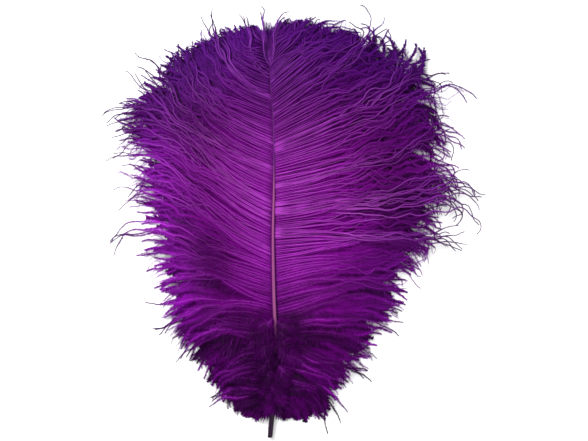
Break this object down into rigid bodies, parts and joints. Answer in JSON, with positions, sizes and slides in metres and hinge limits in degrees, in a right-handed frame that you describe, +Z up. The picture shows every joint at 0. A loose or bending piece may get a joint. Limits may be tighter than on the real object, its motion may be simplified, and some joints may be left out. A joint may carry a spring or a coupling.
{
  "type": "ostrich feather",
  "caption": "Dyed ostrich plume lying flat: a tapering shaft with a broad, loose vane of soft curling barbs, for trimming, hats, costume or display.",
  "frame": {"origin": "on the surface that the plume lies on, under the middle of its outline", "axes": "+Y along the shaft from the cut quill to the tip, +Z up out of the face of the vane, +X to the right seen from above with the tip away"},
  "size_m": [0.3058, 0.3572, 0.027],
  "materials": {
    "barbs": "soft dyed barbs and down, matt with a faint sheen",
    "quill": "bare horn of the quill and shaft, which takes less of the dye, with a low polish"
  },
  "bodies": {
    "root": {"feather": "barbs"}
  },
  "joints": []
}
